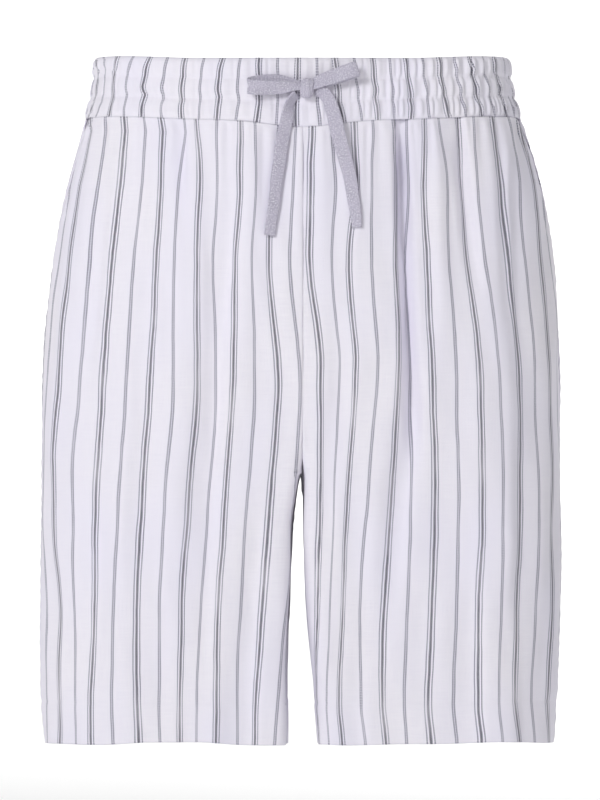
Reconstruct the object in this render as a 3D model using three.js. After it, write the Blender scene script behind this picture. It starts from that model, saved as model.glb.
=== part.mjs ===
// Bermuda shorts with an elastic waist and a tied drawstring, in the hollow form that they have when worn.
// Millimetres, +Z up. The front faces -Y and the wearer's left leg is at +X.
// The origin is in the middle of the waist opening, a little above the middle of the waistband.
import * as THREE from "three";

// Driving sizes
const BAND_TOP = 21;
const BAND_BOTTOM = -25;
const FORK = -238; // the centre seams start to turn under here
const CROTCH = -290; // lowest point of the crotch seam
const HEM = -494;
const HEM_DEPTH = 31;
const CLOTH = 1.5; // wall of a single cloth
const HEM_CLOTH = 2.6; // wall where the hem is turned up
const BAND_CLOTH = 4.2; // elastic and two cloths
const SEAM = 0.3; // gap between pieces at a seam
const BAND_SEAM = 0.5; // gap between the waistband and the gathered edge below it

// One row per height, top to bottom. left and right are half widths, front, back and line the places on Y of
// the front, the back and the side seam. innerL and innerR are the inner edges of the legs, corner how square
// such an edge turns, and centre how far the foremost point has moved from the middle of the body to that of
// the leg.
const SECTION_COLUMNS = [
  "z", "left", "right", "front", "back", "line", "innerL", "innerR", "corner", "centre",
];
const SECTIONS = [
  [21, 158.5, 156.5, -97, 99, 0, 0, 0, 5, 0],
  [0, 160, 158.3, -98, 101, 0, 0, 0, 5, 0],
  [-25, 165.5, 165.5, -100, 104, -3, 0, 0, 5, 0],
  [-75, 178.5, 181.5, -103, 115, -8, 0, 0, 5, 0],
  [-130, 189, 190, -103, 124, -12, 0, 0, 5, 0.05],
  [-200, 196.5, 194, -100, 127, -12, 0, 0, 5, 0.35],
  [-255, 198.5, 194, -96, 119, -14, 0, 0, 5, 0.65],
  [-290, 199, 194.5, -93, 109, -17, 0, 0, 4.9, 0.82],
  [-312, 199, 194.5, -91, 101, -18, 5.4, 0.4, 4.8, 0.9],
  [-345, 199, 194.5, -88, 90, -20, 8.4, 0.6, 4.7, 1],
  [-400, 199, 194.5, -84, 76, -20, 10.8, 2, 4.6, 1],
  [-450, 199, 194.3, -81, 67, -19, 11.8, 7.5, 4.5, 1],
  [-466, 198.5, 191.8, -80.3, 65, -18.8, 12, 9.5, 4.5, 1],
  [-494, 197, 190.4, -79, 61, -18, 12.2, 11.4, 4.5, 1],
].map((row) => Object.fromEntries(row.map((value, i) => [SECTION_COLUMNS[i], value])));
const OUTER_CORNER = 2.35; // how square the section turns at the side
const INSEAM_TOP_Y = 2; // the inseam's place in depth at the crotch and at the hem
const INSEAM_HEM_Y = -9;

// One row per soft fold of the fronts and backs. A trough goes in by its depth, a ridge has a depth below 0.
// x is its place across, at its top and at its foot, and half is its half width.
const FOLDS = {
  front_right: [
    { top: -22, foot: -345, xTop: 73.5, xFoot: 74, half: 12.5, depth: 9 },
    { top: -22, foot: -210, xTop: 122, xFoot: 136, half: 13, depth: 3 },
    { top: -22, foot: -170, xTop: 158, xFoot: 170, half: 9, depth: 3 },
    { top: -230, foot: HEM, xTop: 120, xFoot: 128, half: 24, depth: 2 },
    { top: -270, foot: HEM, xTop: 44, xFoot: 40, half: 18, depth: 2 },
    { top: -22, foot: -230, xTop: 98, xFoot: 104, half: 18, depth: -2.5 },
  ],
  front_left: [
    { top: -60, foot: -470, xTop: -70, xFoot: -64, half: 18, depth: 4.5 },
    { top: -22, foot: -190, xTop: -80, xFoot: -76, half: 11, depth: 3.5 },
    { top: -40, foot: -220, xTop: -10, xFoot: -14, half: 14, depth: 3 },
    { top: -22, foot: -240, xTop: -46, xFoot: -44, half: 20, depth: -2 },
    { top: -120, foot: HEM, xTop: -122, xFoot: -112, half: 22, depth: 2 },
    { top: -22, foot: -300, xTop: -150, xFoot: -172, half: 12, depth: 2.5 },
  ],
  back_right: [
    { top: -22, foot: -300, xTop: 46, xFoot: 54, half: 18, depth: 4.5 },
    { top: -22, foot: -240, xTop: 96, xFoot: 108, half: 15, depth: 4 },
    { top: -22, foot: -180, xTop: 140, xFoot: 156, half: 12, depth: 3 },
    { top: -270, foot: HEM, xTop: 60, xFoot: 92, half: 24, depth: 4 },
    { top: -300, foot: HEM, xTop: 140, xFoot: 134, half: 22, depth: 3 },
  ],
  back_left: [
    { top: -22, foot: -280, xTop: -52, xFoot: -58, half: 18, depth: 4 },
    { top: -22, foot: -260, xTop: -104, xFoot: -118, half: 16, depth: 4.5 },
    { top: -22, foot: -170, xTop: -144, xFoot: -160, half: 12, depth: 3 },
    { top: -280, foot: HEM, xTop: -66, xFoot: -98, half: 24, depth: 4 },
    { top: -320, foot: HEM, xTop: -146, xFoot: -140, half: 20, depth: 3 },
  ],
};

const AT_WAIST = 0.12; // share of a fold's depth that is left where it is sewn under the waistband
const DROPPED = -58; // height by which such a fold has its whole depth
const SEAM_EASE = 0.12; // share of a panel's width, at each long seam, over which its folds die away
const NEARBY = 0.01; // share of a panel's width between points that give its direction

// Slanted side pockets: the mouth runs from the waist seam down to the side seam.
const POCKET_FOOT = -152;
const POCKET_SET_IN = 30; // from the side seam at the waist, along the cloth
const POCKET_LAP = 16; // the facing reaches this far under the mouth
const POCKET_CLEAR = 0.9; // between the front's wall and the facing

// Waistband
const CHANNELS = 3;
const CHANNEL_PUFF = 1.6;
const GATHERS = 42; // across the front, and as many across the back
const GATHER_DEPTH = 1.5;
const BAND_HALF_WIDTH = 160; // the oval that gives the direction in which the band is padded out
const BAND_HALF_DEPTH = 100;

// Drawstring tape
const TAPE_WIDTH = 11.5;
const TAPE_THICK = 1.8;
const TAPE_CLEAR = 0.4; // between the tape and the cloth behind it
const KNOT = { x: 3, z: -2.3, width: 11, height: 15.5, depth: 9 };
const LOOP_GAP = 0.4; // between the knot and the loops
const LOOP_LEFT = { length: 38.2, open: 6.5, lift: 4.5, proud: 2.4, rise: 0.4 };
const LOOP_RIGHT = { length: 33.5, open: 5, lift: 1, proud: 2.6, rise: 4.5, tilt: -17 };

// Grid of the solids
const PANEL_COLUMNS = 20;
const PANEL_ROWS = [
  -40, -58, -78, -100, -125, -150, -178, -206, -226, FORK,
  -253.6, -267.2, -279, -286.6, CROTCH,
  -298, -316, -342, -375, -410, -440, HEM + HEM_DEPTH + 1, HEM + HEM_DEPTH, -474, HEM,
];

const cloth = (color) => new THREE.MeshStandardMaterial({ color, roughness: 0.85, metalness: 0 });
const STRIPED_CLOTH = cloth(0xe6e3ef);
const BAND_STRIPED = cloth(0xe2dfec);
const TAPE_CLOTH = cloth(0xb9b4c6);

const lerp = THREE.MathUtils.lerp;

// 0 at from, 1 at to, eased at both ends; from may be the larger
function smooth(x, from, to) {
  const t = THREE.MathUtils.clamp((x - from) / (to - from), 0, 1);
  return t * t * (3 - 2 * t);
}

// The section table at one height, with rounded steps between its rows
function sectionAt(z) {
  const last = SECTIONS.length - 1;
  let i = 0;
  while (i < last - 1 && SECTIONS[i + 1].z > z) i++;
  const [a, b] = [SECTIONS[i], SECTIONS[i + 1]];
  const before = SECTIONS[Math.max(i - 1, 0)];
  const after = SECTIONS[Math.min(i + 2, last)];
  const span = b.z - a.z;
  const t = THREE.MathUtils.clamp((z - a.z) / span, 0, 1);
  const out = {};
  for (const key of Object.keys(a)) {
    const slopeA = ((b[key] - before[key]) / (b.z - before.z)) * span;
    const slopeB = ((after[key] - a[key]) / (after.z - a.z)) * span;
    out[key] =
      (2 * t ** 3 - 3 * t ** 2 + 1) * a[key] + (t ** 3 - 2 * t ** 2 + t) * slopeA +
      (3 * t ** 2 - 2 * t ** 3) * b[key] + (t ** 3 - t ** 2) * slopeB;
  }
  return out;
}

// How far the centre seam has turned under towards the inseam, 0 at the fork and 1 at the crotch
function turnedUnder(z) {
  const t = THREE.MathUtils.clamp((FORK - z) / (FORK - CROTCH), 0, 1);
  return 1 - Math.sqrt(1 - t * t);
}

// How far the cloth at a distance from that seam has turned. At the seam it turns with it; further off it
// turns later and more slowly, down into the leg.
const SEAM_HOLD = 5;
const SLOW_TURN_TOP = FORK - 5;
const SLOW_TURN_FOOT = CROTCH - 45;
function turnBeside(distance, z) {
  const hold = Math.exp(-((distance / SEAM_HOLD) ** 2));
  return lerp(smooth(z, SLOW_TURN_TOP, SLOW_TURN_FOOT), turnedUnder(z), hold);
}

// One quarter of the garment at one height, as points from its centre seam or inseam to the side seam.
// side is 1 at +X and -1 at -X; face is -1 at the front and 1 at the back. unturned leaves out the turn under.
const CURVE_STEPS = 40;
function quarterCurve(z, side, face, unturned = false) {
  const s = sectionAt(z);
  const width = side > 0 ? s.right : s.left;
  const inner = Math.max(SEAM / 2, side > 0 ? s.innerR : s.innerL);
  const crown = face < 0 ? s.front : s.back;
  const inseamY = lerp(INSEAM_TOP_Y, INSEAM_HEM_Y, smooth(z, CROTCH, HEM)) + (face * SEAM) / 2;
  const middle = inner + ((width - inner) / 2) * THREE.MathUtils.clamp(s.centre, 0, 1);
  const sideY = s.line + (face * SEAM) / 2;
  const points = [];
  for (let i = 0; i < CURVE_STEPS; i++) {
    const a = (i / CURVE_STEPS) * (Math.PI / 2);
    const across = Math.cos(a) ** (2 / s.corner);
    const deep = 1 - Math.sin(a) ** (2 / s.corner);
    const turn = unturned ? 0 : turnBeside((middle - inner) * (1 - across), z);
    points.push([middle - (middle - inner) * across, lerp(crown, inseamY, deep * turn)]);
  }
  for (let i = 0; i <= CURVE_STEPS; i++) {
    const a = (i / CURVE_STEPS) * (Math.PI / 2);
    const across = Math.sin(a) ** (2 / OUTER_CORNER);
    const deep = 1 - Math.cos(a) ** (2 / OUTER_CORNER);
    points.push([middle + (width - middle) * across, lerp(crown, sideY, deep)]);
  }
  return points.map(([x, y]) => new THREE.Vector2(side * x, y));
}

// The point at a share of a curve's length, 0 at its first point and 1 at its last
function alongCurve(points, share) {
  const lengths = [0];
  for (let i = 1; i < points.length; i++) {
    lengths.push(lengths[i - 1] + points[i].distanceTo(points[i - 1]));
  }
  const total = lengths[lengths.length - 1];
  const want = share * total;
  let i = 1;
  while (i < points.length - 1 && lengths[i] < want) i++;
  const t = (want - lengths[i - 1]) / Math.max(lengths[i] - lengths[i - 1], 1e-9);
  return { point: points[i - 1].clone().lerp(points[i], THREE.MathUtils.clamp(t, 0, 1)), total };
}

// The share of a quarter's length for a column, 0 at the centre and 1 at the side seam. The length that
// turns under at the crotch is given to the inner columns alone, so that the others run straight down.
const INNER_COLUMNS = 0.45;
function columnShare(z, side, face, column) {
  const whole = alongCurve(quarterCurve(z, side, face), 1).total;
  const flat = alongCurve(quarterCurve(z, side, face, true), 1).total;
  const inner = Math.max(1 - column / INNER_COLUMNS, 0) ** 2;
  return 1 - ((1 - column) * flat + (whole - flat) * inner) / whole;
}

// The waist seam hangs a little lower at the centre front than at the sides, and the top edge is higher at
// the sides and the back
const CENTRE_SAG = 5.8; // over this half width
const CENTRE_SAG_WIDTH = 40;
const SIDE_RISE = 3.2; // reached where x passes from the first of these to the second
const SIDE_RISE_FROM = 70;
const SIDE_RISE_TO = 155;
const SAG_FOOT = -150; // no sag or rise below this height
function seamSag(x, face, z) {
  const rise = SIDE_RISE * smooth(Math.abs(x), SIDE_RISE_FROM, SIDE_RISE_TO);
  const sag = face < 0 ? CENTRE_SAG * Math.exp(-((x / CENTRE_SAG_WIDTH) ** 2)) : 0;
  if (z <= BAND_BOTTOM) return (rise - sag) * smooth(z, SAG_FOOT, BAND_BOTTOM);
  const top = face < 0 ? rise : SIDE_RISE;
  return lerp(rise - sag, top, smooth(z, BAND_BOTTOM, BAND_TOP));
}

function foldDepth(folds, x, z) {
  let depth = 0;
  for (const f of folds) {
    if (z > f.top || z < f.foot) continue;
    const t = (f.top - z) / (f.top - f.foot);
    const offset = Math.abs(x - lerp(f.xTop, f.xFoot, t)) / f.half;
    if (offset >= 1) continue;
    const sewn = f.top > BAND_BOTTOM;
    const above = sewn ? lerp(AT_WAIST, 1, smooth(z, BAND_BOTTOM, DROPPED)) : smooth(t, 0, 0.25);
    const below = f.foot <= HEM ? 1 : 1 - smooth(t, 0.5, 1);
    depth += f.depth * Math.cos((offset * Math.PI) / 2) ** 2 * above * below;
  }
  return depth;
}

// The outer surface of a panel: its point at a share of the way to the side seam, folds included
function panelPoint(name, z, share) {
  const side = name.endsWith("right") ? 1 : -1;
  const face = name.startsWith("front") ? -1 : 1;
  const curve = quarterCurve(z, side, face);
  const { point } = alongCurve(curve, share);
  const ahead = alongCurve(curve, Math.min(share + NEARBY, 1)).point;
  const behind = alongCurve(curve, Math.max(share - NEARBY, 0)).point;
  const across = ahead.sub(behind).normalize();
  const inward = new THREE.Vector2(-across.y, across.x).multiplyScalar(side * -face);
  const free = smooth(share, 0, SEAM_EASE) * smooth(1 - share, 0, SEAM_EASE);
  const pushed = point.addScaledVector(inward, foldDepth(FOLDS[name], point.x, z) * free);
  return new THREE.Vector3(pushed.x, pushed.y, z + seamSag(pushed.x, face, z));
}

// A closed wall from a grid of outer points: the inner points lie behind them, by the wall at each row.
// correct sets the direction at an edge, so that neighbours keep their seam gap.
function wallFromGrid(outer, wallOf, correct) {
  const rows = outer.length;
  const columns = outer[0].length;
  const held = (i, count) => THREE.MathUtils.clamp(i, 0, count - 1);
  const at = (r, c) => outer[held(r, rows)][held(c, columns)];
  const inner = outer.map((row, r) =>
    row.map((p, c) => {
      const down = at(r + 1, c).clone().sub(at(r - 1, c));
      const along = at(r, c + 1).clone().sub(at(r, c - 1));
      const inward = along.cross(down).normalize();
      return p.clone().addScaledVector(correct(inward, r, c).normalize(), wallOf(r));
    }),
  );
  return closedMesh(outer, inner);
}

// Two grids of points with the same layout, joined round their edges into one closed mesh
function closedMesh(outer, inner) {
  const rows = outer.length;
  const columns = outer[0].length;
  const points = [...outer.flat(), ...inner.flat()];
  const id = (layer, r, c) => layer * rows * columns + r * columns + c;
  const faces = [];
  const quad = (a, b, c, d) => faces.push(a, b, c, a, c, d);
  for (let r = 0; r < rows - 1; r++) {
    for (let c = 0; c < columns - 1; c++) {
      quad(id(0, r, c), id(0, r + 1, c), id(0, r + 1, c + 1), id(0, r, c + 1));
      quad(id(1, r, c), id(1, r, c + 1), id(1, r + 1, c + 1), id(1, r + 1, c));
    }
    quad(id(0, r, 0), id(1, r, 0), id(1, r + 1, 0), id(0, r + 1, 0));
    const end = columns - 1;
    quad(id(0, r, end), id(0, r + 1, end), id(1, r + 1, end), id(1, r, end));
  }
  for (let c = 0; c < columns - 1; c++) {
    quad(id(0, 0, c), id(0, 0, c + 1), id(1, 0, c + 1), id(1, 0, c));
    const foot = rows - 1;
    quad(id(0, foot, c), id(1, foot, c), id(1, foot, c + 1), id(0, foot, c + 1));
  }
  const geometry = new THREE.BufferGeometry().setFromPoints(points);
  geometry.setIndex(faces);
  return geometry;
}

// The share of a front panel's width where the pocket mouth lies at one height, 1 where there is no pocket
function mouthShare(z, side) {
  if (z <= POCKET_FOOT) return 1;
  const { total } = alongCurve(quarterCurve(z, side, -1), 1);
  const t = (z - POCKET_FOOT) / (BAND_BOTTOM - POCKET_FOOT);
  return 1 - (POCKET_SET_IN * t ** 0.8) / total;
}

// Panels run from the centre outwards; mirror gives the order that keeps the outside out
const facesOut = (side, face) => side * face < 0;
const mirrored = (grid) => grid.map((row) => [...row].reverse());
const oriented = (grid, side, face) => (facesOut(side, face) ? grid : mirrored(grid));

function panel(name) {
  const side = name.endsWith("right") ? 1 : -1;
  const face = name.startsWith("front") ? -1 : 1;
  const heights = [BAND_BOTTOM - BAND_SEAM, ...PANEL_ROWS];
  const grid = heights.map((z) => {
    const reach = face < 0 ? mouthShare(z, side) : 1;
    const row = [];
    for (let c = 0; c <= PANEL_COLUMNS; c++) {
      row.push(panelPoint(name, z, reach * columnShare(z, side, face, c / PANEL_COLUMNS)));
    }
    return row;
  });
  const wallOf = (r) => (heights[r] <= HEM + HEM_DEPTH ? HEM_CLOTH : CLOTH);
  const last = PANEL_COLUMNS;
  const correct = (inward, r, c) => {
    const column = facesOut(side, face) ? c : last - c;
    const z = heights[r];
    if (column === last && !(face < 0 && z > POCKET_FOOT)) inward.y = 0;
    if (column === 0 && z > CROTCH) inward.x = 0;
    if (column === 0 && z < CROTCH) inward.y = 0;
    if (column === 0 && z === CROTCH) inward.set(0, 0, 1);
    if (r === 0) inward.z = 0;
    return inward;
  };
  return wallFromGrid(oriented(grid, side, face), wallOf, correct);
}

// The cloth behind a pocket mouth, set in under the front
function pocketFacing(side) {
  const name = side > 0 ? "front_right" : "front_left";
  const heights = [BAND_BOTTOM - BAND_SEAM, ...PANEL_ROWS.filter((z) => z > POCKET_FOOT), POCKET_FOOT - 6];
  const COLUMNS = 5;
  const grid = heights.map((z) => {
    const { total } = alongCurve(quarterCurve(z, side, -1), 1);
    const mouth = mouthShare(z, side);
    const start = mouth - POCKET_LAP / total;
    const row = [];
    for (let c = 0; c <= COLUMNS; c++) {
      const share = lerp(start, 1, c / COLUMNS);
      const p = panelPoint(name, z, share);
      const ahead = panelPoint(name, z, Math.min(share + NEARBY, 1));
      const around = ahead.sub(panelPoint(name, z, share - NEARBY));
      const inward = new THREE.Vector3(-around.y * side, around.x * side, 0).normalize();
      row.push(p.addScaledVector(inward, CLOTH + POCKET_CLEAR));
    }
    return row;
  });
  const correct = (inward, r, c) => {
    const column = facesOut(side, -1) ? c : COLUMNS - c;
    if (column === COLUMNS) inward.y = 0;
    if (r === 0) inward.z = 0;
    return inward;
  };
  return wallFromGrid(oriented(grid, side, -1), () => CLOTH, correct);
}

// The waistband's outer face at a share round one half, from one side seam to the other
function bandBase(z, share, face) {
  const side = share < 0.5 ? -1 : 1;
  const curve = quarterCurve(z, side, face);
  const { point } = alongCurve(curve, Math.min(Math.abs(share - 0.5) * 2, 1));
  if (Math.abs(share - 0.5) < 1e-6) point.x = 0;
  return point;
}

// The direction out of the band at one of its points
function bandOut(p) {
  return new THREE.Vector2(p.x / BAND_HALF_WIDTH ** 2, p.y / BAND_HALF_DEPTH ** 2).normalize();
}

// Heights of the band's rows as shares from its bottom to its top, and how far each stands out
function bandRows() {
  const rows = [];
  for (let i = 0; i < CHANNELS; i++) {
    rows.push({ share: i / CHANNELS, puff: i === 0 ? 0.2 : 0 });
    rows.push({ share: (i + 0.5) / CHANNELS, puff: 1 });
  }
  rows.push({ share: 1, puff: 0.1 });
  return rows;
}

function waistbandHalf(face) {
  const columns = GATHERS * 2;
  const rows = bandRows();
  const outer = rows.map(({ share, puff }) => {
    const z = lerp(BAND_BOTTOM, BAND_TOP, share);
    const row = [];
    for (let c = 0; c <= columns; c++) {
      const p = bandBase(z, c / columns, face);
      const atEnd = c === 0 || c === columns;
      const uneven = 0.75 + 0.25 * Math.sin(c * 1.7) * Math.cos(c * 0.37);
      const wave = atEnd ? 0 : (c % 2 ? 1 : -1) * (GATHER_DEPTH / 2) * uneven;
      const out = bandOut(p);
      p.addScaledVector(out, puff * CHANNEL_PUFF + wave * (0.45 + 0.55 * puff));
      row.push(new THREE.Vector3(p.x, p.y, z + seamSag(p.x, face, z)));
    }
    return row;
  });
  const inner = rows.map(({ share }) => {
    const z = lerp(BAND_BOTTOM, BAND_TOP, share);
    const row = [];
    for (let c = 0; c <= columns; c++) {
      const p = bandBase(z, c / columns, face);
      const out = bandOut(p);
      if (c === 0 || c === columns) out.set(Math.sign(p.x), 0);
      p.addScaledVector(out, -(BAND_CLOTH - CHANNEL_PUFF));
      row.push(new THREE.Vector3(p.x, p.y, z + seamSag(p.x, face, z)));
    }
    return row;
  });
  const turn = (grid) => (face < 0 ? [...grid].reverse() : grid);
  return closedMesh(turn(outer), turn(inner));
}

// The foremost place of the cloth behind a tape that is centred at x and z, folds and puffs included
function frontFace(x, z) {
  const places = [-1, 0, 1].map((edge) => {
    const at = x + (edge * TAPE_WIDTH) / 2;
    const side = at < 0 ? -1 : 1;
    const curve = quarterCurve(z, side, -1);
    const nearer = (best, p) => (Math.abs(p.x - at) < Math.abs(best.x - at) ? p : best);
    const nearest = curve.reduce(nearer);
    return nearest.y + foldDepth(side < 0 ? FOLDS.front_left : FOLDS.front_right, at, z);
  });
  const proud = z > BAND_BOTTOM - CENTRE_SAG - 3 ? CHANNEL_PUFF + GATHER_DEPTH / 2 : 0;
  return Math.min(...places) - proud;
}

// A flat tape along a route, an 8-sided section with rounded edges
function tape(route, width, thick, widthIsNormal) {
  const w = width / 2;
  const t = thick / 2;
  const bevel = t * 0.6;
  const corners = [
    [w, t - bevel], [w - bevel, t], [-w + bevel, t], [-w, t - bevel],
    [-w, -t + bevel], [-w + bevel, -t], [w - bevel, -t], [w, -t + bevel],
  ];
  const turned = corners.map(([a, b]) => (widthIsNormal ? [a, b] : [b, a]));
  const shape = new THREE.Shape(turned.map(([a, b]) => new THREE.Vector2(a, b)));
  const path = new THREE.CatmullRomCurve3(route, false, "centripetal");
  const steps = 2 * (route.length - 1);
  return new THREE.ExtrudeGeometry(shape, { steps, bevelEnabled: false, extrudePath: path });
}

// The drawstring's two free ends, by hand: x across, z up, and off, how far the tape's middle stands
// away from the cloth behind it
const TAIL_LEFT = [
  { x: -4.8, z: -6.6, off: 0.3 }, { x: -7.9, z: -9.8, off: 0.3 }, { x: -10.3, z: -14.6, off: 0.3 },
  { x: -11.3, z: -20.6, off: 0.3 }, { x: -12.5, z: -27.3, off: 0.4 }, { x: -14, z: -34, off: 0.9 },
  { x: -15.3, z: -40.6, off: 1.7 }, { x: -16.7, z: -48.6, off: 1.4 }, { x: -17.5, z: -57.2, off: 1 },
  { x: -18.9, z: -66.2, off: 0.8 }, { x: -20.1, z: -74.8, off: 0.7 }, { x: -21.2, z: -83, off: 0.7 },
  { x: -22.2, z: -91.3, off: 0.5 }, { x: -23.2, z: -98.7, off: 0.4 }, { x: -24.2, z: -105.8, off: 0.3 },
  { x: -25, z: -112.6, off: 0.2 },
];
const TAIL_RIGHT = [
  { x: 9.7, z: -3.8, off: 0.3 }, { x: 14.6, z: -5.1, off: 0.3 }, { x: 18.4, z: -9.8, off: 0.3 },
  { x: 21.1, z: -16.1, off: 0.3 }, { x: 22.7, z: -21.7, off: 0.3 }, { x: 24.2, z: -27.3, off: 0.4 },
  { x: 25.6, z: -33.7, off: 0.8 }, { x: 27.4, z: -40.6, off: 1.7 }, { x: 29.3, z: -47.3, off: 1.5 },
  { x: 31.1, z: -53.9, off: 1.1 }, { x: 32.9, z: -60.2, off: 0.8 }, { x: 34.7, z: -67, off: 0.7 },
  { x: 36, z: -74.8, off: 0.7 }, { x: 37.2, z: -83, off: 0.7 }, { x: 38.6, z: -90.5, off: 0.6 },
  { x: 39.6, z: -98, off: 0.4 }, { x: 40.4, z: -106.6, off: 0.3 },
];

function tailGeometry(points) {
  const clear = TAPE_CLEAR + TAPE_THICK / 2;
  const route = points.map(({ x, z, off }) => new THREE.Vector3(x, frontFace(x, z) - clear - off, z));
  return tape(route, TAPE_WIDTH, TAPE_THICK, false);
}

// A flattened loop of tape, seen from above: out along the front, round its end and back behind.
// lift raises the layer behind over the one in front.
function loopGeometry(length, open, lift) {
  const half = open / 2;
  const end = length - half;
  const outline = [
    [0, -half * 0.55, 0], [length * 0.3, -half * 0.95, 0], [length * 0.65, -half, 0],
    [end, -half * 0.85, 0.15], [length, 0, 0.5], [end, half * 0.85, 0.85],
    [length * 0.65, half, 1], [length * 0.3, half * 0.9, 1], [0, half * 0.5, 1],
  ];
  const route = outline.map(([x, y, rise]) => new THREE.Vector3(x, y, rise * lift));
  return tape(route, TAPE_WIDTH, TAPE_THICK, true);
}

const shorts = new THREE.Group();

function add(name, geometry, material) {
  const mesh = new THREE.Mesh(geometry, material);
  mesh.name = name;
  shorts.add(mesh);
  return mesh;
}

for (const name of Object.keys(FOLDS)) add(name, panel(name), STRIPED_CLOTH.clone());
add("pocket_facing_right", pocketFacing(1), STRIPED_CLOTH.clone());
add("pocket_facing_left", pocketFacing(-1), STRIPED_CLOTH.clone());
add("waistband_front", waistbandHalf(-1), BAND_STRIPED.clone());
add("waistband_back", waistbandHalf(1), BAND_STRIPED.clone());

// The bow: a knot with a loop and a free end to each side
const knotY = frontFace(KNOT.x, KNOT.z) - TAPE_CLEAR - KNOT.depth / 2;
const knot = add("drawstring_knot", new THREE.SphereGeometry(0.5, 16, 12), TAPE_CLOTH.clone());
knot.scale.set(KNOT.width, KNOT.depth, KNOT.height);
knot.position.set(KNOT.x, knotY, KNOT.z);

const leftShape = loopGeometry(LOOP_LEFT.length, LOOP_LEFT.open, LOOP_LEFT.lift);
const loopLeft = add("drawstring_loop_left", leftShape, TAPE_CLOTH.clone());
loopLeft.rotation.set(0, 0, Math.PI);
loopLeft.scale.set(1, -1, 1);
const knotLeft = KNOT.x - KNOT.width / 2;
loopLeft.position.set(knotLeft - LOOP_GAP, knotY - LOOP_LEFT.proud, KNOT.z + LOOP_LEFT.rise);

const rightShape = loopGeometry(LOOP_RIGHT.length, LOOP_RIGHT.open, LOOP_RIGHT.lift);
const loopRight = add("drawstring_loop_right", rightShape, TAPE_CLOTH.clone());
const knotRight = KNOT.x + KNOT.width / 2;
loopRight.rotation.set(0, THREE.MathUtils.degToRad(LOOP_RIGHT.tilt), 0);
loopRight.position.set(knotRight + LOOP_GAP, knotY - LOOP_RIGHT.proud, KNOT.z + LOOP_RIGHT.rise);

add("drawstring_tail_left", tailGeometry(TAIL_LEFT), TAPE_CLOTH.clone());
add("drawstring_tail_right", tailGeometry(TAIL_RIGHT), TAPE_CLOTH.clone());

export default shorts;
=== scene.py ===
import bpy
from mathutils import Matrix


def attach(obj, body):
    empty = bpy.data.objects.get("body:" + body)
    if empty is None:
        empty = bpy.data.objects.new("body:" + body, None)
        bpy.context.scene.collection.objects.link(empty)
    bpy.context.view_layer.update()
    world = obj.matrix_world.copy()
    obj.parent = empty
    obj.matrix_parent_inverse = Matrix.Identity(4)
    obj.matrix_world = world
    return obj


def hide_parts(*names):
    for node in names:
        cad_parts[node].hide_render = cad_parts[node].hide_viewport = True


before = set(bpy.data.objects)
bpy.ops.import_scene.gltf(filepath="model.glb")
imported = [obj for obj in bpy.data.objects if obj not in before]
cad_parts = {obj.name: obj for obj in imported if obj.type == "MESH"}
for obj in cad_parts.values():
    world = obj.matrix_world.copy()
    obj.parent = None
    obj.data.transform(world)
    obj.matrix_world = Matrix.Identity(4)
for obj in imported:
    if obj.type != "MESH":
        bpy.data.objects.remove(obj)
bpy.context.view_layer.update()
import math

import bpy
import numpy as np
from mathutils import Vector

# Lengths are in millimetres until a mesh is made.
MM = 0.001
PIXEL = 0.76  # millimetres of the garment's front to one pixel of the 600 x 800 photograph
CENTRE_PX = 303.0
ORIGIN_PY = 90.0

BAND_TOP = 21.0
BAND_BOTTOM = -25.0
FORK = -238.0
CROTCH = -290.0
HEM = -494.0
HEM_DEPTH = 31.0
SEAM = 0.04  # the visible cloth's gap at a seam
BAND_SEAM = 0.5  # in the solids
BAND_JOIN = 0.06  # in the visible cloth
CLOTH = 0.8  # the visible cloth's thickness
REPEAT = 37.5  # from one triple stripe to the next


CAMERA_AWAY = 6000.0
CAMERA_Z = -235.6
FRAME_AWAY = 5990.0  # at this distance a pixel is as long as PIXEL


def px_of(x, y):
    """The photograph's column of a point at x and depth y."""
    return CENTRE_PX + x * FRAME_AWAY / (CAMERA_AWAY + y) / PIXEL


def py_of(z, y):
    return ORIGIN_PY - (CAMERA_Z + (z - CAMERA_Z) * FRAME_AWAY / (CAMERA_AWAY + y)) / PIXEL


def z_of(py, y):
    return CAMERA_Z + ((ORIGIN_PY - py) * PIXEL - CAMERA_Z) * (CAMERA_AWAY + y) / FRAME_AWAY


def smooth(x, a, b):
    t = np.clip((np.asarray(x, float) - a) / (b - a), 0, 1)
    return t * t * (3 - 2 * t)


def bell(x, half):
    """A cos squared hump of height 1, half wide to each side."""
    return np.where(np.abs(x) < half, np.cos(np.clip(x / half, -1, 1) * math.pi / 2) ** 2, 0.0)


def smooth_through(x, xs, ys):
    """A smooth curve through points, with the slopes that never overshoot, straight beyond its ends."""
    xs, ys = np.asarray(xs, float), np.asarray(ys, float)
    h = np.diff(xs)
    d = np.diff(ys) / h
    m = np.zeros(len(xs))
    m[0], m[-1] = d[0], d[-1]
    same = d[:-1] * d[1:] > 0
    w1, w2 = 2 * h[1:] + h[:-1], h[1:] + 2 * h[:-1]
    inner = np.zeros(len(xs) - 2)
    inner[same] = (w1 + w2)[same] / (w1[same] / d[:-1][same] + w2[same] / d[1:][same])
    m[1:-1] = inner
    i = np.clip(np.searchsorted(xs, x) - 1, 0, len(xs) - 2)
    t = np.clip((x - xs[i]) / h[i], 0, 1)
    y = ((2 * t**3 - 3 * t**2 + 1) * ys[i] + (t**3 - 2 * t**2 + t) * h[i] * m[i]
         + (3 * t**2 - 2 * t**3) * ys[i + 1] + (t**3 - t**2) * h[i] * m[i + 1])
    return y


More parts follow.
